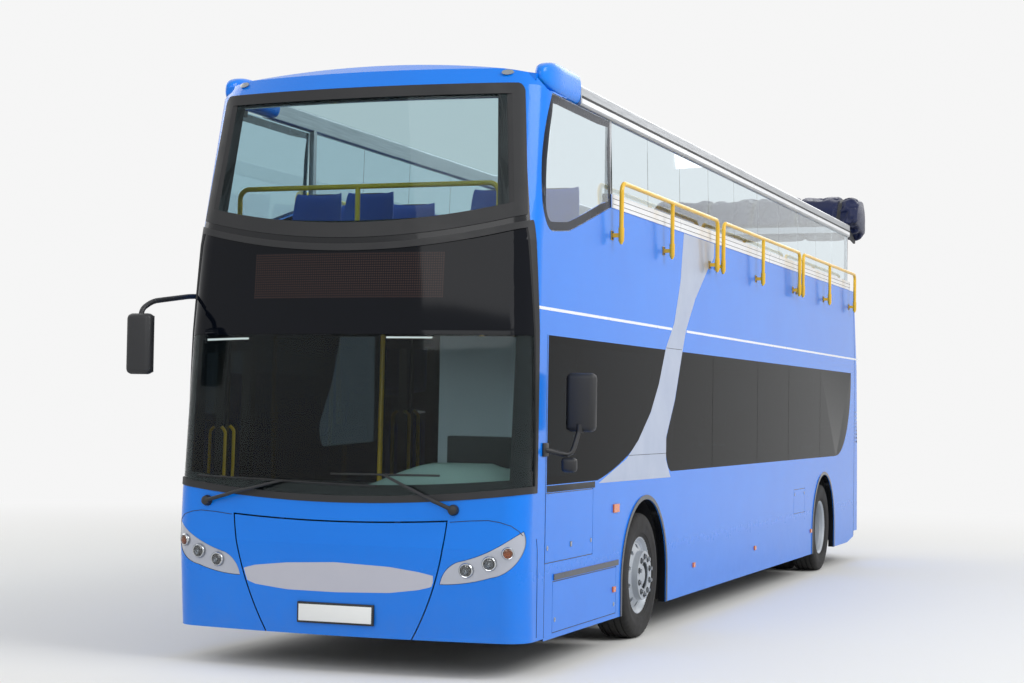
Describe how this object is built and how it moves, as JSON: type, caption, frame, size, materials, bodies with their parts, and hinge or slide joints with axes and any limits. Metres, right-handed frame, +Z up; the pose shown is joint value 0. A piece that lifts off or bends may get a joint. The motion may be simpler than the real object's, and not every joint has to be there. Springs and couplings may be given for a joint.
{
  "type": "open top double decker bus",
  "caption": "Two-axle sightseeing bus with an open upper deck, hinged doors, flap and engine lid, and steered, freely turning wheels.",
  "frame": {"origin": "on the road, under the middle of the whole object's box", "axes": "+Z up, +Y from the front of the bus to its rear, +X to the bus's left side"},
  "size_m": [3.0525, 12.5725, 4.4321],
  "materials": {
    "blue_paint": "gloss, solid blue with darker broad bands",
    "black_gasket": "matt black bonding and rubber seals",
    "black_plastic": "fine grained moulded black plastic",
    "body_glass": "tinted safety glass",
    "clear_glass": "clear laminated glass",
    "deck_acrylic": "clear cast sheet",
    "aluminium": "satin anodised tube",
    "white_paint": "gloss white paint",
    "yellow_paint": "gloss yellow powder coat",
    "tyre": "ribbed road tyre",
    "wheel_steel": "silver enamelled steel",
    "roof_fabric": "coated navy roof fabric",
    "seat_plastic": "moulded blue seat shell",
    "floor_covering": "studded safety flooring",
    "grey_laminate": "grey interior laminate",
    "lamp_glass": "clear lamp cover",
    "red_plastic": "red lens",
    "amber_plastic": "amber lens",
    "axle_iron": "black painted casting",
    "frame_steel": "black chassis paint"
  },
  "bodies": {
    "bus": {"side_wall_left": "blue_paint", "side_wall_right": "blue_paint", "saloon_glass": "body_glass", "front_hoop": "blue_paint", "windscreen_lower": "clear_glass", "windscreen_upper": "clear_glass", "screen_surrounds": "black_gasket", "front_mask": "blue_paint", "head_lamps": "lamp_glass", "rear_wall": "blue_paint", "rear_glass": "body_glass", "lower_floor": "floor_covering", "upper_floor": "floor_covering", "wheel_boxes": "black_plastic", "chassis_frame": "frame_steel", "front_axle": "axle_iron", "rear_axle": "axle_iron", "engine_block": "axle_iron", "top_rails": "aluminium", "lower_rails": "white_paint", "deck_panes": "deck_acrylic", "guard_rails": "yellow_paint", "folded_roof": "roof_fabric", "roof_bows": "frame_steel", "roof_pods": "blue_paint", "upper_seats": "seat_plastic", "lower_seats": "seat_plastic", "driver_seat": "seat_plastic", "dashboard": "black_plastic", "steering_wheel": "black_plastic", "cab_partition": "grey_laminate", "staircase": "grey_laminate", "sign_box": "black_plastic", "grab_rails": "yellow_paint", "mirrors": "black_plastic", "wipers": "black_plastic", "marker_lamps": "amber_plastic", "rear_lamps": "red_plastic", "air_springs": "black_gasket"},
    "knuckle_left": {"knuckle_left": "axle_iron"},
    "knuckle_right": {"knuckle_right": "axle_iron"},
    "front_wheel_left": {"front_tyre_left": "tyre", "front_rim_left": "wheel_steel"},
    "front_wheel_right": {"front_tyre_right": "tyre", "front_rim_right": "wheel_steel"},
    "rear_wheels_left": {"rear_tyres_left": "tyre", "rear_rims_left": "wheel_steel"},
    "rear_wheels_right": {"rear_tyres_right": "tyre", "rear_rims_right": "wheel_steel"},
    "front_flap": {"front_flap": "blue_paint"},
    "engine_lid": {"engine_lid": "blue_paint"},
    "front_door_leaf_a": {"front_door_leaf_a": "blue_paint"},
    "front_door_leaf_b": {"front_door_leaf_b": "blue_paint"},
    "middle_door_leaf_a": {"middle_door_leaf_a": "blue_paint"},
    "middle_door_leaf_b": {"middle_door_leaf_b": "blue_paint"}
  },
  "joints": [
    {"name": "steer_left", "type": "hinge", "parent": "bus", "child": "knuckle_left", "pos_m": [0.93, -3.17, 0.48], "axis": [0, 0, 1], "range_deg": [-45, 45]},
    {"name": "steer_right", "type": "hinge", "parent": "bus", "child": "knuckle_right", "pos_m": [-0.93, -3.17, 0.48], "axis": [0, 0, 1], "range_deg": [-45, 45]},
    {"name": "spin_front_left", "type": "hinge", "parent": "knuckle_left", "child": "front_wheel_left", "pos_m": [1.117, -3.17, 0.48], "axis": [1, 0, 0], "continuous": true},
    {"name": "spin_front_right", "type": "hinge", "parent": "knuckle_right", "child": "front_wheel_right", "pos_m": [-1.117, -3.17, 0.48], "axis": [1, 0, 0], "continuous": true},
    {"name": "spin_rear_left", "type": "hinge", "parent": "bus", "child": "rear_wheels_left", "pos_m": [1, 3.89, 0.48], "axis": [1, 0, 0], "continuous": true},
    {"name": "spin_rear_right", "type": "hinge", "parent": "bus", "child": "rear_wheels_right", "pos_m": [-1, 3.89, 0.48], "axis": [1, 0, 0], "continuous": true},
    {"name": "front_flap", "type": "hinge", "parent": "bus", "child": "front_flap", "pos_m": [0, -6.024, 1.012], "axis": [-1, 0, 0], "range_deg": [0, 85]},
    {"name": "engine_lid", "type": "hinge", "parent": "bus", "child": "engine_lid", "pos_m": [0, 6.262, 1.33], "axis": [1, 0, 0], "range_deg": [0, 75]},
    {"name": "front_door_a", "type": "hinge", "parent": "bus", "child": "front_door_leaf_a", "pos_m": [-1.254, -5.347, 1.2], "axis": [0, 0, -1], "range_deg": [0, 88]},
    {"name": "front_door_b", "type": "hinge", "parent": "bus", "child": "front_door_leaf_b", "pos_m": [-1.254, -4.153, 1.2], "axis": [0, 0, 1], "range_deg": [0, 88]},
    {"name": "middle_door_a", "type": "hinge", "parent": "bus", "child": "middle_door_leaf_a", "pos_m": [-1.254, -1.032, 1.2], "axis": [0, 0, -1], "range_deg": [0, 88]},
    {"name": "middle_door_b", "type": "hinge", "parent": "bus", "child": "middle_door_leaf_b", "pos_m": [-1.254, 0.162, 1.2], "axis": [0, 0, 1], "range_deg": [0, 88]}
  ],
  "couplings": [
    {"joint": "steer_right", "follows": "steer_left", "ratio": 1},
    {"joint": "front_door_b", "follows": "front_door_a", "ratio": 1},
    {"joint": "middle_door_b", "follows": "middle_door_a", "ratio": 1}
  ]
}
